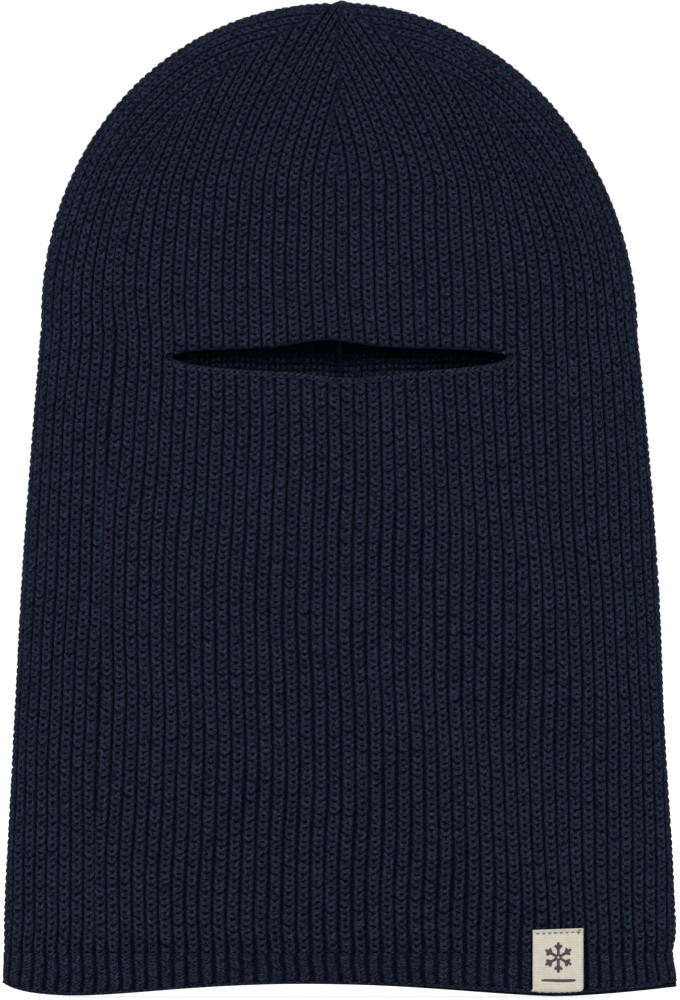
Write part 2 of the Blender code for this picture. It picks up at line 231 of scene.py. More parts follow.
def half_width(z):
    """Half the width of the outline at and below the crown line."""
    below = np.clip((CROWN_LINE - z) / CROWN_LINE, 0, 1)
    waist = WAIST[0] * np.exp(-(((z - WAIST[1]) / WAIST[2]) ** 2))
    return CROWN_HALF_WIDTH + (HEM_HALF_WIDTH - CROWN_HALF_WIDTH) * (1 - (1 - below) ** TAPER_POWER) - waist


def half_depth(z):
    rise = np.clip(z / DEPTH_RISE, 0, 1)
    return HEM_HALF_DEPTH + (FULL_HALF_DEPTH - HEM_HALF_DEPTH) * rise * rise * (3 - 2 * rise)


def drift(z):
    """How far the hood leans to the left, more and more towards the top."""
    up = np.clip((z - LEAN_START) / (APEX - LEAN_START), 0, 1)
    return -LEAN_TOP * np.sin(math.pi / 2 * up)


def outline_share(x, z):
    """0 on the middle line and 1 on the outline."""
    up = np.maximum(z - CROWN_LINE, 0) / CROWN_HEIGHT
    return (np.abs(x / half_width(z)) ** CROWN_POWER + up**CROWN_POWER) ** (1 / CROWN_POWER)


def on_envelope(x, z, face):
    """Points of the outer face: face is -1 on the front and +1 on the back."""
    depth = half_depth(z) * np.sqrt(np.maximum(1 - outline_share(x, z) ** SECTION_POWER, 0))
    return np.stack([x + drift(z), face * depth, z], axis=-1)


def envelope_level(points):
    x, y, z = np.moveaxis(points, -1, 0)
    return outline_share(x - drift(z), z) ** SECTION_POWER + (y / half_depth(z)) ** 2


def outward(points):
    """Unit normals of the envelope, from its level function."""
    step = 2e-5
    slopes = [envelope_level(points + step * axis) - envelope_level(points - step * axis) for axis in np.eye(3)]
    normals = np.stack(slopes, axis=-1)
    return normals / np.maximum(np.linalg.norm(normals, axis=-1, keepdims=True), 1e-12)


def lining(points, wall):
    """The same points on the inner face of a fabric of this thickness, which is thicker at the folds."""
    x, y, z = np.moveaxis(points, -1, 0)
    fold = wall + FOLD_WALL - WALL
    over = np.maximum(z - CROWN_LINE, 0)
    x_in = (x - drift(z)) * (1 - fold / half_width(z)) + drift(z)
    y_in = y * (1 - wall / half_depth(z))
    z_in = z - over * fold / CROWN_HEIGHT
    return np.stack([x_in, y_in, z_in], axis=-1)


def section_table(width, depth):
    """Rib numbers from the fold (0) to the middle (26) against the share of the half width."""
    turn = np.linspace(0, math.pi / 2, 300)
    share = np.cos(turn) ** (2 / SECTION_POWER)
    middle = (share[1:] + share[:-1]) / 2
    steps = np.hypot(np.diff(width * share), np.diff(depth * np.sin(turn)))
    ribs = np.concatenate([[0], np.cumsum(steps * (1 + EDGE_TIGHTNESS * middle**2))])
    return ribs * QUARTER / ribs[-1], share


CROWN_TABLE = section_table(CROWN_HALF_WIDTH, FULL_HALF_DEPTH)
FOLD_SHARE = float(np.interp(SIDE_RIBS, *CROWN_TABLE))


def around_crown(angle):
    """(x, z) shares of the crown's outline at an angle about the crown's middle."""
    angle = np.clip(angle, 0, math.pi / 2)
    return np.abs(np.cos(angle)) ** (2 / CROWN_POWER), np.sin(angle) ** (2 / CROWN_POWER)


def edge_share(angle):
    """The edge of the side gores as a share of the way from the crown's middle to its outline."""
    quarter = angle / (math.pi / 2)
    return FOLD_SHARE + (1 - EDGE_CLOSE - FOLD_SHARE) * quarter + EDGE_CLOSE * quarter**EDGE_CLOSE_POWER


EDGE_ANGLES = np.linspace(0, math.pi / 2, 400)
EDGE_X = CROWN_HALF_WIDTH * edge_share(EDGE_ANGLES) * around_crown(EDGE_ANGLES)[0]
EDGE_Z = CROWN_LINE + CROWN_HEIGHT * edge_share(EDGE_ANGLES) * around_crown(EDGE_ANGLES)[1]


def panel_edge(z):
    """Distance from the middle to the edge of the side gore, at heights over the crown line."""
    return np.interp(z, EDGE_Z, EDGE_X)


def narrowed(z):
    rise = np.clip((z - CROWN_LINE) / (GORE_BASE - CROWN_LINE), 0, 1)
    return CROWN_HALF_WIDTH * (1 - CROWN_NARROWING * rise * rise * (3 - 2 * rise))


def crowding(z):
    """How far the side gore pushes the outermost front rib towards the middle, settling over the gores' base."""
    under = np.clip(z, CROWN_LINE, GORE_BASE)
    pushed = FOLD_SHARE * narrowed(under) - panel_edge(under)
    slope = (panel_edge(GORE_BASE - MM) - panel_edge(GORE_BASE)) / MM
    above = np.maximum(z - GORE_BASE, 0)
    return pushed + slope * SETTLING * (1 - np.exp(-above / SETTLING))


def crown_reach(share, z):
    """Distance from the middle of a front or back rib at heights over the crown line."""
    return share * narrowed(z) - crowding(z) * (share / FOLD_SHARE) ** CROWDING_POWER


# Where a rib and a course lie.


def from_fold(r):
    """(ribs from the nearest fold, side -1 or +1, face -1 or +1) of rib numbers round the hood."""
    r = np.mod(r, RIBS)
    face = np.where(r <= RIBS / 2, -1.0, 1.0)
    along = np.where(r <= RIBS / 2, r, RIBS - r)
    side = np.where(along < QUARTER, -1.0, 1.0)
    return QUARTER - np.abs(along - QUARTER), side, face


def wander(r, c):
    """The slow unevenness of hand-laid fabric, in ribs and in courses."""
    sway = 0.14 * np.sin(0.13 * c + 1.3 * np.sin(0.15 * r) + 0.19 * r) + 0.03 * np.sin(0.37 * c + 0.4 * r + 1.7)
    rise = 0.22 * np.sin(0.38 * r + 0.12 * c + 2.1) + 0.14 * np.sin(0.99 * r - 0.17 * c)
    return sway, rise


def shares_by_row(ribs_in, heights):
    """The share of the half width at each rib distance from the fold, row by row."""
    tables = [section_table(half_width(z), half_depth(z)) for z in heights]
    return np.array([np.interp(ribs, *table) for ribs, table in zip(ribs_in, tables)])


def back_hem(x):
    """Height of the back's bottom edge: arched in the middle, and rising at the corners, most sharply on the left."""
    share = np.clip(x / HEM_HALF_WIDTH, -1, 1)
    left = CORNER_LEFT[0] * np.maximum(-share, 0) ** CORNER_LEFT[1]
    right = CORNER_RIGHT[0] * np.maximum(share, 0) ** CORNER_RIGHT[1]
    height, middle, low_share, power = HEM_ARCH
    arch = height * (0.5 + 0.5 * np.cos(math.pi * (share - middle) / low_share)) ** power
    lift, start = HEM_LIFT_LEFT
    return arch + lift * np.clip(-share / start, 0, 1) + left + right


def front_hem(x):
    return back_hem(x) + FRONT_HEM_RISE + FRONT_HEM_TILT * x / HEM_HALF_WIDTH


def lip_bow(x, bow, extra):
    """How far a lip of the eye opening bows away from its corners, with an extra bow near its middle."""
    share = np.clip(x / SLIT_HALF_WIDTH, -1, 1)
    inside = 1 - share**2
    height, middle, spread = extra
    return bow[0] * inside ** bow[1] + height * np.exp(-(((share - middle) / spread) ** 2)) * inside


def lower_lip(x):
    return SLIT_HEIGHT - lip_bow(x, LOWER_LIP, LOWER_DIP)


def upper_lip(x):
    return SLIT_HEIGHT + lip_bow(x, UPPER_LIP, UPPER_PEAK)


def level(height):
    return lambda x: np.full(np.shape(x), height)


def tube_place(low, high, courses, first=0.0, below=0):
    """A placing of ribs and courses between low(x) and high(x), with this many courses of the hood below it."""

    def place(r, c):
        sway, rise = wander(r, c + below)
        ribs, side, face = from_fold(r + sway * np.clip((c + below - first) / 4, 0, 1))
        share_up = (c - first) / courses
        up = share_up + rise * np.sin(math.pi * np.clip(share_up, 0, 1)) ** 0.5 / courses
        middle = low(0.0) + (high(0.0) - low(0.0)) * up[:, 0]
        share = shares_by_row(ribs, middle)
        x = side * share * half_width(middle)[:, None]
        for _ in range(2):
            z = low(x) + (high(x) - low(x)) * up
            x = side * np.where(z > CROWN_LINE, crown_reach(share, z), share * half_width(z))
        points = on_envelope(x, z, face)
        points[..., 0] *= 1 - pinch(x, z)
        return points, np.full(x.shape, np.inf)

    return place


def pinch(x, z):
    """How far the right fold is drawn in over the welt, as a share of x."""
    depth, height, spread = PINCH
    return depth * np.clip(x / HEM_HALF_WIDTH, 0, 1) ** 6 * np.exp(-(((z - height) / spread) ** 2))


def side_gore_place(r, c):
    """Ribs that follow the outline over the crown; the inner ones end one by one on the gore's edge."""
    sway, rise = wander(r, c + SIDE_COURSES)
    ribs, side, face = from_fold(r + sway)
    angle = np.clip((c + rise * np.minimum(1, c / 3)) / SIDE_GORE_COURSES, 0, 1) * math.pi / 2
    reach = (1 - edge_share(np.minimum(angle, GORE_START))) / (1 - FOLD_SHARE)
    share = 1 - (1 - np.interp(ribs, *CROWN_TABLE)) * reach
    edge = edge_share(angle)
    trimmed = np.maximum(share, edge)
    beyond = np.where(angle > GORE_START, (share - edge) * CROWN_HALF_WIDTH, np.inf)
    across, up = around_crown(angle)
    x = side * CROWN_HALF_WIDTH * trimmed * across
    z = CROWN_LINE + CROWN_HEIGHT * trimmed * up
    return on_envelope(x, z, face), np.maximum(beyond, 0)


def crown_middle(up, face):
    """The line where the two middle gores meet, which wanders on the front and ends under the closing."""
    reach = 0.55 * MIDDLE_LEAN[0] * up ** MIDDLE_LEAN[1]
    wave = np.clip(CENTRE_WANDER * np.sin(4.2 * math.pi * up) * (1 - up), -reach, reach)
    return (CLOSING_X + LEAN_TOP) * up**3 + np.where(face < 0, wave, 0)


def middle_gore_place(r, c):
    """Upright ribs between a side gore and the crown's middle line, ending on both."""
    sway, rise = wander(r, c + FACE_COURSES + FOREHEAD_COURSES)
    ribs, side, face = from_fold(r)
    up = np.clip((c + rise * np.minimum(1, c / 2)) / GORE_COURSES, 0, 1)
    z = GORE_BASE + (APEX - GORE_BASE) * up
    share = np.interp(ribs + sway * side * face, *CROWN_TABLE)
    lean = MIDDLE_LEAN[0] * up ** MIDDLE_LEAN[1]
    short = np.maximum(panel_edge(z) - crown_reach(FOLD_SHARE, z) + lean + GORE_TRIM, 0)
    reach = crown_reach(share, z) + short * (share / FOLD_SHARE) ** CROWDING_POWER
    x = side * (reach - lean * (0.6 + 0.4 * np.minimum(1, reach / 0.030)))
    edge = side * panel_edge(z)
    middle = crown_middle(up, face)
    left = np.where(side < 0, edge, middle)
    right = np.where(side < 0, middle, edge)
    beyond = np.maximum(np.minimum(x - left, right - x), 0) + 0.01 * np.clip(1 - c / 1.5, 0, 1)
    return on_envelope(np.clip(x, left, right), z, face), beyond


def band_place(tube, ribs, courses, rows):
    """A band of one rib that lies along the edge of a tube: its stitches run round the hood."""

    def place(r, c):
        around = ribs[0] + (ribs[1] - ribs[0]) * c / courses
        up = rows[0] + (rows[1] - rows[0]) * r
        points, beyond = tube(around.T, up.T)
        return np.swapaxes(points, 0, 1), beyond.T

    return place


# Stitches.


def stitch_heights(across, along, ribs, shape):
    """Height from 0 to 1 of the yarn of a column of V stitches, or -1 in the eye over each V's tip."""
    off = np.abs(across) / shape["span"]
    path = shape["climb"] * off ** shape["power"]
    number = np.floor((along - path) / shape["course"])
    best = np.full(across.shape, -1.0)
    for near in (-1, 0, 1):
        stitch = number + near
        lift, tilt, shift, size = JITTER[:, np.mod(stitch, STITCHES).astype(int), ribs]
        centre = (stitch + 0.5 + UNEVEN["lift"] * lift) * shape["course"]
        slant = UNEVEN["slant"] * tilt * across / shape["span"] * shape["course"]
        eye = shape["eye"] * (1 + UNEVEN["size"] * size)
        from_eye = np.abs(across + UNEVEN["shift"] * shape["eye"] * shift) - eye
        clear = np.clip(from_eye / (0.5 * shape["eye"]) + 0.5, 0, 1)
        half = shape["thin"] + (shape["thick"] - shape["thin"]) * clear
        inside = 1 - ((along - path - centre - slant) / half) ** 2
        best = np.maximum(best, np.where(inside > 0, np.sqrt(np.abs(inside)), -1.0))
    return best


def rib_relief(ribs, across, c, shape):
    """Height in mm over the envelope, and painted shade with random speckle, of points at distances in mm from the
    middle of each rib.
    """
    swell = SWELL[0] * np.sin(0.19 * c[:, None] + RIB_SWAY[0, ribs])
    swell = swell + SWELL[1] * np.sin(0.47 * c[:, None] + RIB_SWAY[1, ribs])
    courses = c[:, None] + RIB_PHASE[ribs]
    body = shape["body"] + swell + SWELL[2] * np.cos(2 * math.pi * (courses - 0.1))
    shoulder = (1 - np.clip(np.abs(across) / body, 0, 1) ** ROUNDNESS) ** 0.5 - 1
    yarn = stitch_heights(across, courses * shape["course"], ribs, shape)
    height = np.where(yarn < 0, -shape["pit"], shape["crest"] * (yarn - 1))
    height = height + shape["shoulder"] * shoulder
    lift = LIFT * np.sin(0.11 * c[:, None] + RIB_SWAY[2, ribs])
    valley = shape["purl"] * np.cos(2 * math.pi * (courses + 0.5)) - shape["valley"]
    height = np.maximum(height, valley)
    # Painted shade: the colour darkens with depth in the eyes and in the grooves between ribs; the grain speckles it
    # at random.
    painted_shade_and_speckle = np.clip((height + shape["pit"] + EYE_SHADE[0]) / (shape["pit"] - EYE_SHADE[1]), 0, 1)
    grain = dice.uniform(-1, 1, height.shape)
    painted_shade_and_speckle = np.clip(painted_shade_and_speckle * (1 + SPECKLE * grain), 0, 1.1)
    return height + lift + shape["grain"] * grain, painted_shade_and_speckle


def purl_relief(places, c, z):
    """Height in mm and painted shade of the inside: two rows of purl bumps to a rib, with painted shade between the
    bumps and a painted shadow of the upper lip.
    """
    bumps = (0.5 + 0.5 * np.cos(2 * math.pi * places)) * (0.5 + 0.5 * np.cos(2 * math.pi * c[:, None]))
    # Painted shadow of the upper lip, darkest at the top of the eye opening and fading downwards.
    light = np.clip((SLIT_HEIGHT + INSIDE_SHADE[0] - z) / INSIDE_SHADE[1], PURL["dark"], 1)
    grain = dice.uniform(-1, 1, bumps.shape)
    painted_shade_and_speckle = np.clip(PURL["closed"] + (1 - PURL["closed"]) * bumps, 0, 1)
    return PURL["height"] * bumps + PURL["grain"] * grain, light * painted_shade_and_speckle * (1 + PURL["speckle"] * grain)


def rounded_end(distance, thickness):
    """How far a face of the fabric falls back, in metres, near a free edge that is rounded over."""
    near = np.clip(1 - distance / thickness, 0, 1)
    return thickness * (1 - np.sqrt(1 - near**2))


# Meshes.


def grid_quads(rows, columns, start, flip=False):
    index = np.arange(rows * columns).reshape(rows, columns) + start
    quads = np.stack([index[:-1, :-1], index[:-1, 1:], index[1:, 1:], index[1:, :-1]], axis=-1)
    quads = quads.reshape(-1, 4)
    return quads[:, ::-1] if flip else quads


def make_mesh(name, points, polygons, finishes, painted_shade_and_speckle=None):
    """A piece from points and a list of (finish number, array of polygons with equally many corners)."""
    mesh = bpy.data.meshes.new(name)
    mesh.vertices.add(len(points))
    mesh.vertices.foreach_set("co", np.asarray(points, np.float32).ravel())
    loops = np.concatenate([p.ravel() for _, p in polygons]).astype(np.int32)
    sizes = np.concatenate([np.full(len(p), p.shape[1]) for _, p in polygons])
    kinds = np.concatenate([np.full(len(p), kind) for kind, p in polygons])
    starts = np.concatenate([[0], np.cumsum(sizes)[:-1]]).astype(np.int32)
    mesh.loops.add(len(loops))
    mesh.loops.foreach_set("vertex_index", loops)
    mesh.polygons.add(len(sizes))
    mesh.polygons.foreach_set("loop_start", starts)
    mesh.polygons.foreach_set("use_smooth", np.ones(len(sizes), bool))
    for finish in finishes:
        mesh.materials.append(finish)
    mesh.polygons.foreach_set("material_index", kinds.astype(np.int32))
    mesh.update(calc_edges=True)
    mesh.validate()
    # Painted shade and speckle per point, by which the wool darkens its colour.
    if painted_shade_and_speckle is not None:
        layer = mesh.attributes.new("painted_shade_and_speckle", "FLOAT", "POINT")
        layer.data.foreach_set("value", painted_shade_and_speckle.astype(np.float32).ravel())
    thing = bpy.data.objects.new(name, mesh)
    LOOKS.objects.link(thing)
    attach(thing, "root")
    return thing


def rim(outer, inner, inner_step):
    """Polygons that join two edges of different fineness, one polygon for each whole stitch or rib."""
    count = (len(inner) - 1) // inner_step
    fine = (len(outer) - 1) // count
    strips = []
    for i in range(count):
        front = outer[i * fine : (i + 1) * fine + 1]
        back = inner[i * inner_step : (i + 1) * inner_step + 1]
        strips.append(np.concatenate([front, back[::-1]]))
    return np.array(strips)


def shell_polygons(outer_shape, inner_shape, inner_steps):
    """The two faces of a shell and the rims between them; inner_steps are points per stitch and per rib inside."""
    rows, columns = outer_shape
    start = rows * columns
    out = np.arange(start).reshape(rows, columns)
    inn = np.arange(inner_shape[0] * inner_shape[1]).reshape(inner_shape) + start
    return [
        (0, grid_quads(rows, columns, 0)),
        (1, grid_quads(*inner_shape, start, flip=True)),
        (0, rim(out[:, 0], inn[:, 0], inner_steps[0])),
        (0, rim(out[:, -1], inn[:, -1], inner_steps[0])[:, ::-1]),
        (0, rim(out[0], inn[0], inner_steps[1])[:, ::-1]),
        (0, rim(out[-1], inn[-1], inner_steps[1])),
    ]


def columns_of(first, last, steps):
    """(rib number, place in the rib from -1 to 1) of every column of a strip of whole ribs."""
    ribs = np.repeat(np.arange(first, last), len(steps) - 1)
    places = np.tile(steps[:-1], last - first)
    return np.append(ribs, last - 1), np.append(places, steps[-1])


def strip_points(place, ribs, places, c):
    r = np.broadcast_to(ribs + (places + 1) / 2, (len(c), len(ribs)))
    return place(r, np.broadcast_to(c[:, None], r.shape))


def rib_distance(base, places, shape):
    """Distances in mm from the middle of each rib, stretched where the ribs are narrower than their stitches."""
    steps = len(ACROSS) - 1
    widths = np.linalg.norm(np.diff(base[:, ::steps], axis=1), axis=-1) / MM
    widths = np.concatenate([np.repeat(widths, steps, axis=1), widths[:, -1:]], axis=1)
    drawn_in = np.clip(1 - np.abs(base[..., 2] - WELT_TOP) / DRAW_IN[1], 0, 1) if shape is MAIN else 0
    return places * np.maximum(widths / 2, shape["body"] / RIB_SHARE) * (1 + DRAW_IN[0] * drawn_in)


def slit_open(points):
    """1 along the eye opening, and 0 past its corners, where the face and the forehead are one fabric."""
    return np.clip((SLIT_HALF_WIDTH - np.abs(points[..., 0])) / 0.004, 0, 1)


def everywhere(points):
    return np.ones(points.shape[:-1])


def knit(
    name, ribs, courses, place, shape=MAIN, fine_inside=False, free_edge=None, roll=0.0, sink=0.0, free=everywhere
):
    """A strip of rib knit as one closed shell: stitches outside, and the ribs' backs inside."""
    first, last = courses
    across, places = columns_of(*ribs, ACROSS)
    c = np.linspace(first, last, (last - first) * ALONG + 1)
    base, beyond = strip_points(place, across, places, c)
    distance = rib_distance(base, places, shape)
    height, painted_shade_and_speckle = rib_relief(np.mod(across, RIBS), distance, c, shape)
    seam = np.exp(-((beyond / SEAM_SPREAD) ** 2))
    shallow = np.clip(np.abs(base[..., 1]) / 0.006, 0.3, 1)
    height = np.where(height < -DEEPEST_FLAT, -DEEPEST_FLAT + (height + DEEPEST_FLAT) * shallow, height)
    height = height * (1 - seam) - SEAM_DEPTH * seam
    # Painted shade along the gore seams.
    painted_shade_and_speckle = painted_shade_and_speckle * (1 - seam) + SEAM_PAINTED_SHADE * seam
    push = height * MM + LOFT - sink
    fine = ACROSS if fine_inside else LINING_ACROSS
    inner_steps = (ALONG if fine_inside else LINING_ALONG, len(fine) - 1)
    inner_across, inner_places = columns_of(*ribs, fine)
    inner_c = np.linspace(first, last, (last - first) * inner_steps[0] + 1)
    inner_base, _ = strip_points(place, inner_across, inner_places, inner_c)
    if fine_inside:
        bumps, inner_shade_and_speckle = purl_relief(inner_places, inner_c, inner_base[..., 2])
        wall = WALL + bumps * MM
    else:
        # Painted shade on the ribs' backs, lighter towards the grooves.
        wave = np.abs(inner_places)
        wall = np.broadcast_to(WALL + MM * (LINING_WAVE[0] * wave + LINING_WAVE[1]), inner_base.shape[:2])
        inner_shade_and_speckle = np.broadcast_to(LINING_PAINTED_SHADE[0] + LINING_PAINTED_SHADE[1] * wave, inner_base.shape[:2])
    wall = wall + sink
    if free_edge is not None:
        course = shape["course"] * MM
        outer_gap = np.abs(c - free_edge)[:, None] * course
        inner_gap = np.abs(inner_c - free_edge)[:, None] * course
        # Painted shade near a free edge, on the stitches and on the inside.
        painted_shade_and_speckle = painted_shade_and_speckle * (1 - free(base) * np.exp(-outer_gap / EDGE_SHADE[0]))
        inner_shade_and_speckle = inner_shade_and_speckle * (1 - free(inner_base) * np.exp(-inner_gap / EDGE_SHADE[1]))
        outer_roll = roll * np.exp(-outer_gap / ROLL_SPREAD)
        inner_roll = roll * np.exp(-inner_gap / ROLL_SPREAD)
        push = push - free(base) * (rounded_end(outer_gap, EDGE_ROUNDING[0]) + outer_roll)
        wall = wall - free(inner_base) * (rounded_end(inner_gap, EDGE_ROUNDING[1]) - inner_roll)
    outer = base + outward(base) * push[..., None]
    inner = lining(inner_base, wall)
    points = np.concatenate([outer.reshape(-1, 3), inner.reshape(-1, 3)])
    all_shade_and_speckle = np.concatenate([painted_shade_and_speckle.ravel(), inner_shade_and_speckle.ravel()])
    polygons = shell_polygons(outer.shape[:2], inner.shape[:2], inner_steps)
    yarn = YARN_EDGE_PAINTED_LIGHT if shape is CHAIN else YARN_WELT_PAINTED_LIGHT if shape is WELT else YARN
    thing = make_mesh(name, points, polygons, [yarn, YARN_INSIDE_PAINTED_LIGHT], all_shade_and_speckle)
    return thing


def stand_for(thing, slot, *nodes):
    if nodes:
        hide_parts(*nodes)


def make_threads(name, paths, normals, half_size, finish):
    """Threads or flat bars that follow paths, closed at both ends."""
    half_wide, half_thick = half_size
    points, polygons, start = [], [], 0
    turn = np.linspace(0, 2 * math.pi, THREAD_SIDES, endpoint=False)
    for path, normal in zip(paths, normals):
        path = np.asarray(path, float)
        ahead = np.gradient(path, axis=0)
        ahead /= np.linalg.norm(ahead, axis=1, keepdims=True)
        sideways = np.cross(ahead, normal)
        sideways /= np.linalg.norm(sideways, axis=1, keepdims=True)
        up = np.cross(sideways, ahead)
        ring = sideways[:, None] * np.cos(turn)[None, :, None] * half_wide
        ring = ring + up[:, None] * np.sin(turn)[None, :, None] * half_thick
        rounding = np.ones(len(path))
        rounding[[0, -1]] = THREAD_END
        points.append((path[:, None] + ring * rounding[:, None, None]).reshape(-1, 3))
        index = np.arange(len(path) * THREAD_SIDES).reshape(len(path), THREAD_SIDES) + start
        ahead_index = np.roll(index, -1, axis=1)
        quads = np.stack([index[:-1], ahead_index[:-1], ahead_index[1:], index[1:]], axis=-1).reshape(-1, 4)
        polygons.append((0, quads))
        polygons.append((0, index[:1, ::-1]))
        polygons.append((0, index[-1:]))
        start += len(path) * THREAD_SIDES
    return make_mesh(name, np.concatenate(points), polygons, [finish])


# Materials.


class Look:
    """A Principled material with the object's own coordinates, and short calls to wire its nodes."""

    def __init__(self, name, roughness, specular):
        self.finish = bpy.data.materials.new(name)
        self.finish.use_nodes = True
        self.nodes = self.finish.node_tree.nodes
        self.shader = self.nodes["Principled BSDF"]
        self.shader.inputs["Roughness"].default_value = roughness
        self.shader.inputs["Specular IOR Level"].default_value = specular
        self.place = self.add("ShaderNodeTexCoord").outputs["Object"]

    def add(self, kind, values=(), links=(), **settings):
        node = self.nodes.new(kind)
        for key, value in settings.items():
            setattr(node, key, value)
        for socket, value in dict(values).items():
            node.inputs[socket].default_value = value
        for socket, source in dict(links).items():
            self.link(source, node.inputs[socket])
        return node

    def link(self, source, socket):
        self.finish.node_tree.links.new(source, socket)

    def noise(self, scale, detail, low, high):
        """A noise stretched to run from low to high."""
        grain = self.add("ShaderNodeTexNoise", {"Scale": scale, "Detail": detail}, {"Vector": self.place})
        spread = {"From Min": 0.3, "From Max": 0.7, "To Min": low, "To Max": high}
        return self.add("ShaderNodeMapRange", spread, {"Value": grain.outputs["Fac"]}).outputs["Result"]

    def times(self, one, other):
        return self.add("ShaderNodeMath", {}, {0: one, 1: other}, operation="MULTIPLY").outputs["Value"]

    def colour(self, base, strength, hue=None, deep=(0, 0, 0)):
        """The base colour times strength, plus the deep colour; hue, a signed number, leans it from teal to plum."""
        links = {1: strength}
        if hue is not None:
            lean = tuple(share * part for share, part in zip(HUE_LEAN, base))
            leaned = self.add("ShaderNodeVectorMath", {0: lean, 2: base}, {1: hue}, operation="MULTIPLY_ADD")
            links[0] = leaned.outputs["Vector"]
        tint = self.add("ShaderNodeVectorMath", {0: base, 2: deep}, links, operation="MULTIPLY_ADD")
        self.link(tint.outputs["Vector"], self.shader.inputs["Base Color"])

    def bump(self, source, distance, strength=0.5):
        values = {"Strength": strength, "Distance": distance}
        bump = self.add("ShaderNodeBump", values, {"Height": source})
        self.link(bump.outputs["Normal"], self.shader.inputs["Normal"])


def lighter(colour, times):
    return tuple(times * part for part in colour)


def wool(name, colour, closed=0.17):
    """Matt wool yarn with painted shade: darker where the fabric closes up, flecked in brightness and hue, with a
    fibre bump.
    """
    look = Look(name, 0.95, 0.02)
    look.shader.inputs["Sheen Weight"].default_value = 0.035
    look.shader.inputs["Sheen Roughness"].default_value = 0.4
    look.shader.inputs["Sheen Tint"].default_value = (0.55, 0.65, 0.95, 1)
    painted_shade_and_speckle = look.add("ShaderNodeAttribute", attribute_name="painted_shade_and_speckle").outputs["Fac"]
    # Painted shade: the colour falls to the share closed where the points are most shaded.
    shade = look.add("ShaderNodeMapRange", {"To Min": closed, "To Max": 1.0}, {"Value": painted_shade_and_speckle})
    flecks = look.times(look.noise(*FLECKS), look.noise(*FINE_FLECKS))
    look.colour(colour, look.times(flecks, shade.outputs["Result"]), look.noise(*HUES), NAVY_DEEP)
    look.bump(look.noise(*FIBRES), 0.0004)
    return look.finish


def woven(name, colour):
    """A label's satin weave: fine rows of floats with a little unevenness."""
    look = Look(name, 0.62, 0.3)
    rows = look.add(
        "ShaderNodeTexWave", {"Scale": 520, "Distortion": 0.6}, {"Vector": look.place}, bands_direction="Z"
    )
    shade = look.add("ShaderNodeMapRange", {"To Min": 0.82, "To Max": 1.06}, {"Value": rows.outputs["Fac"]})
    look.colour(colour, look.times(look.noise(700, 2, 0.93, 1.05), shade.outputs["Result"]))
    look.bump(rows.outputs["Fac"], 0.00012, 0.6)
    return look.finish


def twisted(name, colour, specular=0.2):
    """A sewing or linking thread, with the slanted lines of its twist."""
    look = Look(name, 0.7, specular)
    twist = look.add("ShaderNodeTexWave", {"Scale": 700, "Distortion": 1.5}, {"Vector": look.place})
    shade = look.add("ShaderNodeMapRange", {"To Min": 0.6, "To Max": 1.2}, {"Value": twist.outputs["Fac"]})
    look.colour(colour, shade.outputs["Result"])
    look.bump(twist.outputs["Fac"], 0.0001)
    return look.finish


def paper(name, colour, glow):
    """White studio paper with a glow of its own, which keeps it white under the hood."""
    look = Look(name, 0.9, 0.0)
    look.shader.inputs["Base Color"].default_value = (colour, colour, colour, 1)
    look.shader.inputs["Emission Color"].default_value = (1, 1, 1, 1)
    look.shader.inputs["Emission Strength"].default_value = glow
    return look.finish


# The hood.


def make_face():
    place = tube_place(level(WELT_TOP), lower_lip, FACE_COURSES)
    for i, first in enumerate((8, 17, 26, 35)):
        name, ribs = f"face_knit_{i + 1}", (first, first + 9)
        piece = knit(name, ribs, (0, FACE_COURSES), place, free_edge=FACE_COURSES, roll=LOWER_ROLL, free=slit_open)
        stand_for(piece, "navy_rib_knit", "face_panel")


def make_forehead():
    place = tube_place(upper_lip, level(GORE_BASE), FOREHEAD_COURSES, below=FACE_COURSES)
    for i, first in enumerate((8, 26)):
        name, ribs = f"forehead_knit_{i + 1}", (first, first + 18)
        piece = knit(name, ribs, (0, FOREHEAD_COURSES), place, free_edge=0, roll=UPPER_ROLL, free=slit_open)
        stand_for(piece, "navy_rib_knit", "forehead_panel")


def make_back():
    place = tube_place(level(WELT_TOP), level(GORE_BASE), BACK_COURSES)
    for i, first in enumerate((60, 69, 78, 87)):
        for word, courses in zip(("low", "mid", "high"), zip(BACK_CUTS[:-1], BACK_CUTS[1:])):
            name = f"back_knit_{word}_{i + 1}"
            piece = knit(name, (first, first + 9), courses, place, fine_inside=word == "mid")
            stand_for(piece, "navy_rib_knit", "back_panel")


def make_sides():
    place = tube_place(level(WELT_TOP), level(CROWN_LINE), SIDE_COURSES)
    for word, first in (("right", 44), ("left", 96)):
        for part, start in (("a", first), ("b", first + SIDE_RIBS)):
            ribs = (start, start + SIDE_RIBS)
            piece = knit(f"side_knit_{word}_{part}", ribs, (0, SIDE_COURSES), place)
            stand_for(piece, "navy_rib_knit", f"side_panel_{word}")
            piece = knit(f"side_gore_knit_{word}_{part}", ribs, (0, SIDE_GORE_COURSES), side_gore_place)
            stand_for(piece, "navy_rib_knit", f"side_gore_{word}")


def make_gores():
    for name, first in (("front_left", 8), ("front_right", 26), ("back_right", 60), ("back_left", 78)):
        piece = knit(f"{name}_gore_knit", (first, first + 18), (0, GORE_COURSES), middle_gore_place)
        stand_for(piece, "navy_rib_knit", f"{name}_gore")


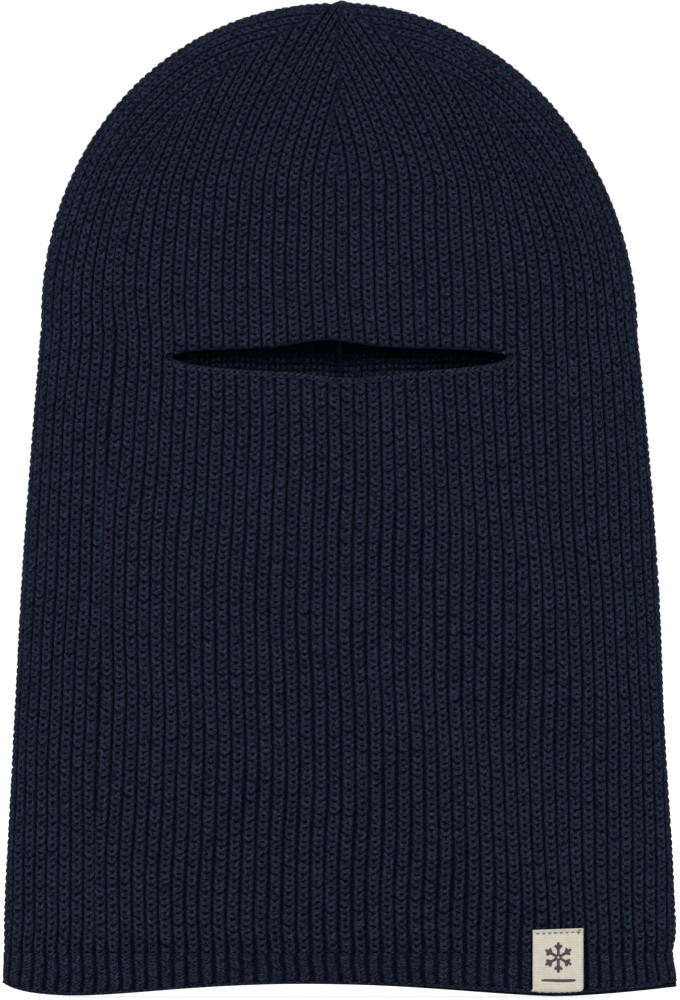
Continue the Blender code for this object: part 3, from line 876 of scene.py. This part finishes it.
def make_hem():
    """The welt of the front and of the back, each with its cast-on edge, a chain of stitches lying along it."""
    for name, hem, first in (("front", front_hem, 0), ("back", back_hem, 52)):
        place = tube_place(hem, level(WELT_TOP), WELT_COURSES, first=-WELT_COURSES)
        ribs = (first, first + RIBS // 2)
        piece = knit(f"hem_knit_{name}", ribs, (-WELT_COURSES, 0), place, WELT, free_edge=-WELT_COURSES)
        stand_for(piece, "navy_hem_welt", f"hem_welt_{name}")
        rows = (CAST_ON_ROWS[0] - WELT_COURSES, CAST_ON_ROWS[1] - WELT_COURSES)
        along = band_place(place, ribs, CAST_ON_STITCHES, rows)
        edge = knit(f"hem_cast_on_{name}", (0, 1), (0, CAST_ON_STITCHES), along, CHAIN)
        stand_for(edge, "navy_hem_welt")


def make_eye_bands():
    """The bound-off lower lip, and the upper lip's edge, which rolls in behind the fabric."""
    corner = float(np.interp(-SLIT_HALF_WIDTH / half_width(SLIT_HEIGHT), -CROWN_TABLE[1], CROWN_TABLE[0]))
    ribs = (corner, RIBS / 2 - corner)
    face = tube_place(level(WELT_TOP), lower_lip, FACE_COURSES)
    low = band_place(face, ribs, LIP_STITCHES, (FACE_COURSES - LIP_BAND_COURSES, FACE_COURSES))
    piece = knit("eye_bound_edge_lower", (0, 1), (0, LIP_STITCHES), low, CHAIN)
    stand_for(piece, "navy_edge_band", "eye_edge_lower")
    forehead = tube_place(upper_lip, level(GORE_BASE), FOREHEAD_COURSES, below=FACE_COURSES)
    high = band_place(forehead, ribs, LIP_STITCHES, (0.0, LIP_BAND_COURSES))
    piece = knit("eye_rolled_edge_upper", (0, 1), (0, LIP_STITCHES), high, CHAIN, sink=ROLLED_EDGE_SINK)
    stand_for(piece, "navy_edge_band", "eye_edge_upper")


def make_tacks(thread):
    """Three stitches over each corner of the eye opening."""
    for word, side in (("left", -1), ("right", 1)):
        paths, normals = [], []
        for i in range(3):
            turn = np.linspace(-1, 1, 9)
            x = side * (SLIT_HALF_WIDTH + 0.0004 + 0.0010 * i) + 0.0003 * turn
            z = SLIT_HEIGHT + 0.0017 * turn
            base = on_envelope(x, z, -1)
            normal = outward(base)
            lift = LOFT - 0.0004 - 0.0018 * np.abs(turn) ** 4
            paths.append(base + normal * lift[:, None])
            normals.append(normal)
        piece = make_threads(f"eye_tack_{word}", paths, normals, TACK_THREAD, thread)
        stand_for(piece, "navy_tack_thread", f"eye_corner_tack_{word}")


def make_closing():
    """The last stitches of the gores, drawn together on one yarn and knotted."""
    paths, normals = [], []
    for i in range(CLOSING_STRANDS):
        angle = 2 * math.pi * i / CLOSING_STRANDS + 0.2
        out = np.linspace(0.1, 1, 8)
        reach = CLOSING_REACH * out * (1 + 0.15 * math.sin(3 * i))
        drop = 0.0009 * (1 - np.cos(out * math.pi * 0.6)) + 0.0010 * out**3
        x = CLOSING_X + reach * math.cos(angle)
        y = 0.8 * reach * math.sin(angle)
        z = APEX - 0.0001 - drop
        paths.append(np.stack([x, y, z], axis=-1))
        normals.append(np.broadcast_to([math.cos(angle) * 0.3, math.sin(angle) * 0.3, 1.0], (8, 3)))
    turn = np.linspace(0, 3 * math.pi, 22)
    height = APEX - 0.0001 + 0.00003 * turn
    paths.append(np.stack([CLOSING_X + 0.0008 * np.cos(turn), 0.0008 * np.sin(turn), height], axis=-1))
    normals.append(np.broadcast_to([0.0, 0.0, 1.0], (22, 3)))
    piece = make_threads("crown_gather", paths, normals, CLOSING_YARN, YARN_PLAIN)
    stand_for(piece, "navy_rib_knit", "crown_closing")


def make_seams(seam_yarn):
    """The linking ridges inside: beads of overlocked yarn along the crown's lines and down the back."""
    angles = np.linspace(GORE_START, math.radians(80), 120)
    across, up = around_crown(angles)
    gore_x = CROWN_HALF_WIDTH * edge_share(angles) * across
    gore_z = CROWN_LINE + CROWN_HEIGHT * edge_share(angles) * up
    lines = {}
    for face, place in ((-1, "front"), (1, "back")):
        for side, word in ((-1, "left"), (1, "right")):
            lines[f"{place}_{word}_crown_seam"] = on_envelope(side * gore_x, gore_z, face)
        z = np.linspace(GORE_BASE, CROWN_LINE + CROWN_HEIGHT * 0.975, 90)
        lines[f"centre_{place}_crown_seam"] = on_envelope(np.zeros(90), z, face)
    z = np.linspace(WELT_TOP, GORE_BASE - 0.003, 360)
    lines["centre_back_seam"] = on_envelope(np.zeros(360), z, 1)
    for node, line in lines.items():
        inside = lining(line, WALL + 0.0014)
        beads = 0.00022 * np.sin(np.arange(len(line)) * math.pi / 1.5)
        path = inside - outward(line) * beads[:, None]
        piece = make_threads(f"{node}_ridge", [path], [outward(line)], RIDGE_YARN, seam_yarn)
        stand_for(piece, "navy_linking_yarn", node)


# Labels.


def label_face(u, z, lift):
    """Points over the front of the hem: u runs from 0 to 1 across the label, which is sewn on a little askew."""
    x = LABEL_LEFT + LABEL_WIDTH * u
    tilted = z + LABEL_TILT * (x - LABEL_LEFT) * np.clip((z - 0.004) / 0.018, 0, 1)
    points = on_envelope(x, tilted, -1)
    return points - [0, 1, 0] * np.broadcast_to(lift, x.shape)[..., None]


def label_ripple(u, up):
    """How far the label's cloth waves off the welt."""
    return 0.00016 * np.sin(7 * u + 9 * up) + 0.00025 * (1 - up) + 0.0002 * np.sin(math.pi * u)


def cloth_strip(name, grid, thickness_way, finish):
    """A thin woven piece from a grid of points and the way through it to its other face."""
    rows, columns = grid.shape[:2]
    points = np.concatenate([grid.reshape(-1, 3), (grid + thickness_way).reshape(-1, 3)])
    index = np.arange(rows * columns).reshape(rows, columns)
    loop = np.concatenate([index[0, :-1], index[:-1, -1], index[-1, :0:-1], index[:0:-1, 0]])
    ahead = np.roll(loop, -1)
    rims = np.stack([ahead, loop, loop + rows * columns, ahead + rows * columns], axis=-1)
    front = grid_quads(rows, columns, 0, flip=True)
    polygons = [(0, front), (0, grid_quads(rows, columns, rows * columns)), (0, rims[:, ::-1])]
    return make_mesh(name, points, polygons, [finish])


def make_brand_label(weave):
    """The label's strip: down the front of the welt, round the hem and up its inside."""
    u = np.linspace(0, 1, 25)
    hem = front_hem(LABEL_LEFT + LABEL_WIDTH * u)
    rows = []
    for up in np.linspace(1, 0, 46):
        z = hem + LABEL_FOLD + (LABEL_TOP - 0.0006 - LABEL_FOLD - hem) * up
        sewn_down = 0.0005 * math.exp(-(((up - 0.94) / 0.03) ** 2))
        rows.append(label_face(u, z, LOFT + LABEL_STAND - sewn_down + label_ripple(u, up)))
    front = rows[-1]
    inside = lining(on_envelope(front[:, 0], front[:, 2], -1), WALL)
    for turn in np.linspace(0, math.pi, 9)[1:-1]:
        middle = (front + inside) / 2
        arm = (front - inside) / 2
        row = middle + arm * math.cos(turn)
        row[:, 2] = front[:, 2] - LABEL_FOLD * math.sin(turn)
        rows.append(row)
    for up in np.linspace(0, 1, 20):
        z = hem + LABEL_FOLD + (LABEL_TUCK - hem) * up
        rows.append(lining(on_envelope(front[:, 0], z, -1), WALL + 0.0006))
    grid = np.array(rows)
    across = np.gradient(grid, axis=1)
    along = np.gradient(grid, axis=0)
    normal = np.cross(across, along)
    normal /= np.linalg.norm(normal, axis=-1, keepdims=True)
    piece = cloth_strip("woven_label", grid, normal * LABEL_THICKNESS, weave)
    stand_for(piece, "ecru_woven_label", "brand_label")


def label_bars():
    """A plain six-armed snow crystal over a bar, as (u, z) lines in mm from the label's lower left."""
    lines = []
    centre = np.array(CRYSTAL_CENTRE)
    for i in range(6):
        way = np.array([math.sin(math.pi * i / 3), math.cos(math.pi * i / 3)])
        lines.append((centre + CRYSTAL_ARM[0] * way, centre + CRYSTAL_ARM[1] * way))
        for side in (-1, 1):
            turned = math.pi * i / 3 + side * math.pi / 4
            branch = np.array([math.sin(turned), math.cos(turned)])
            fork = centre + CRYSTAL_BRANCH[0] * way
            lines.append((fork, fork + CRYSTAL_BRANCH[1] * branch))
    left, right, height = MOTIF_BAR
    lines.append((np.array([left, height]), np.array([right, height])))
    return lines


def make_label_motif(thread):
    paths, normals = [], []
    width = LABEL_WIDTH / MM
    for start, end in label_bars():
        share = np.linspace(0, 1, 12)[:, None]
        line = start + (end - start) * share
        u = line[:, 0] / width
        hem = front_hem(LABEL_LEFT + LABEL_WIDTH * u)
        z = hem + line[:, 1] * MM
        up = (z - hem) / (LABEL_TOP - hem)
        points = label_face(u, z, LOFT + LABEL_STAND + label_ripple(u, up) + 0.00003)
        paths.append(points)
        normals.append(outward(points))
    piece = make_threads("label_motif", paths, normals, MOTIF_THREAD, thread)
    stand_for(piece, "charcoal_sewing_thread")


def make_label_stitches(thread):
    """A row of running stitches near the label's top edge, and the loose end of its thread."""
    paths, normals = [], []
    for i in range(8):
        u = np.linspace(0.07 + 0.115 * i, 0.07 + 0.115 * i + 0.062, 7)
        dip = 0.0005 * np.linspace(-1, 1, 7) ** 4
        z = np.full(7, LABEL_TOP - 0.0019)
        points = label_face(u, z, LOFT + 0.00085 - dip)
        paths.append(points)
        normals.append(outward(points))
    turn = np.linspace(0, 1, 9)
    tail = label_face(0.90 + 0.05 * turn**2, LABEL_TOP - 0.0026 + 0.0018 * turn, LOFT + 0.0009 + 0.0006 * turn)
    paths.append(tail)
    normals.append(outward(tail))
    piece = make_threads("label_thread", paths, normals, LABEL_THREAD, thread)
    stand_for(piece, "charcoal_sewing_thread", "label_stitches")


def make_care_label(weave):
    """The small plain label inside the back, its lower corners curling a little."""
    u = np.linspace(0, 1, 15)
    rows = []
    for up in np.linspace(1, 0, 19):
        x = CARE_LOW[0] + (CARE_HIGH[0] - CARE_LOW[0]) * u
        z = np.full(15, CARE_LOW[2] + (CARE_HIGH[2] - CARE_LOW[2]) * up)
        row = lining(on_envelope(x, z, 1), WALL + 0.0010)
        row[:, 1] -= 0.0006 * (1 - up) ** 2 * (1 + np.sin(5 * u)) + 0.0001
        rows.append(row)
    grid = np.array(rows)
    piece = cloth_strip("care_label_cloth", grid, np.array([0, 0.0004, 0]), weave)
    stand_for(piece, "ecru_woven_label", "care_label")


# Studio.


def make_studio():
    """A wide white floor under a white sky, with soft boxes in front, above and behind."""
    turns = np.linspace(0, 2 * math.pi, 64, endpoint=False)
    mesh = bpy.data.meshes.new("studio_floor")
    rim_points = [(FLOOR_RADIUS * math.cos(turn), FLOOR_RADIUS * math.sin(turn), 0) for turn in turns]
    mesh.from_pydata(rim_points, [], [list(range(len(turns)))])
    mesh.materials.append(paper("studio_paper", *PAPER))
    floor = bpy.data.objects.new("studio_floor", mesh)
    bpy.context.scene.collection.objects.link(floor)
    world = bpy.data.worlds.new("studio_air")
    world.use_nodes = True
    world.node_tree.nodes["Background"].inputs["Color"].default_value = (1, 1, 1, 1)
    world.node_tree.nodes["Background"].inputs["Strength"].default_value = 1.0
    bpy.context.scene.world = world
    for softbox in SOFTBOXES:
        add_softbox(*softbox)


def add_softbox(name, place, size, watts):
    lamp = bpy.data.lights.new(name, "AREA")
    lamp.shape = "SQUARE"
    lamp.size = size
    lamp.energy = watts
    box = bpy.data.objects.new(name, lamp)
    box.location = place
    aim = Vector(AIM) - Vector(place)
    box.rotation_euler = aim.to_track_quat("-Z", "Y").to_euler()
    bpy.context.scene.collection.objects.link(box)


def make_camera():
    """A level view of the front from far off, as a long lens gives it."""
    lens = bpy.data.cameras.new("camera")
    lens.sensor_fit = "VERTICAL"
    lens.sensor_height = 36
    lens.lens = lens.sensor_height * CAMERA_DISTANCE / VIEW_HEIGHT
    lens.clip_start = 0.1
    lens.clip_end = 50
    camera = bpy.data.objects.new("camera", lens)
    camera.location = (CAMERA_CENTRE[0], -CAMERA_DISTANCE, CAMERA_CENTRE[1])
    camera.rotation_euler = (math.pi / 2, 0, 0)
    bpy.context.scene.collection.objects.link(camera)
    bpy.context.scene.camera = camera
    bpy.context.scene.view_settings.view_transform = "Standard"


LOOKS = bpy.data.collections.new("balaclava_looks")
bpy.context.scene.collection.children.link(LOOKS)
make_camera()
make_studio()
YARN = wool("navy_wool", NAVY)
# Painted light: a lighter copy of the navy yarn on every inner face, seen in the dark of the eye opening.
YARN_INSIDE_PAINTED_LIGHT = wool("navy_wool_inside_painted_light", NAVY_INSIDE_PAINTED_LIGHT, 0.08)
# Painted light: the welt's yarn is the navy made a fifth lighter, standing in for the highlights on its crests.
YARN_WELT_PAINTED_LIGHT = wool("navy_wool_welt_painted_light", lighter(NAVY, 1.2), 0.16)
# Painted light: the lip bands and cast-on chains use the navy made lighter, standing in for the light their rolled
# tops catch.
YARN_EDGE_PAINTED_LIGHT = wool("navy_wool_edge_painted_light", lighter(NAVY, 1.15), 0.2)
YARN_PLAIN = wool("navy_wool_strand", NAVY, 1.0)
make_face()
make_forehead()
make_back()
make_sides()
make_gores()
make_hem()
make_eye_bands()
make_tacks(twisted("navy_thread", NAVY_THREAD, 0.02))
make_closing()
# Painted light: the linking ridges use the navy made lighter, so they sit in the painted-light inside without a dark
# stripe.
make_seams(wool("navy_linking_wool_painted_light", lighter(NAVY, 1.3), 1.0))
make_brand_label(woven("ecru_weave", ECRU))
make_label_motif(twisted("charcoal_thread", CHARCOAL))
make_label_stitches(twisted("taupe_thread", TAUPE))
make_care_label(woven("white_weave", WHITE_TAPE))
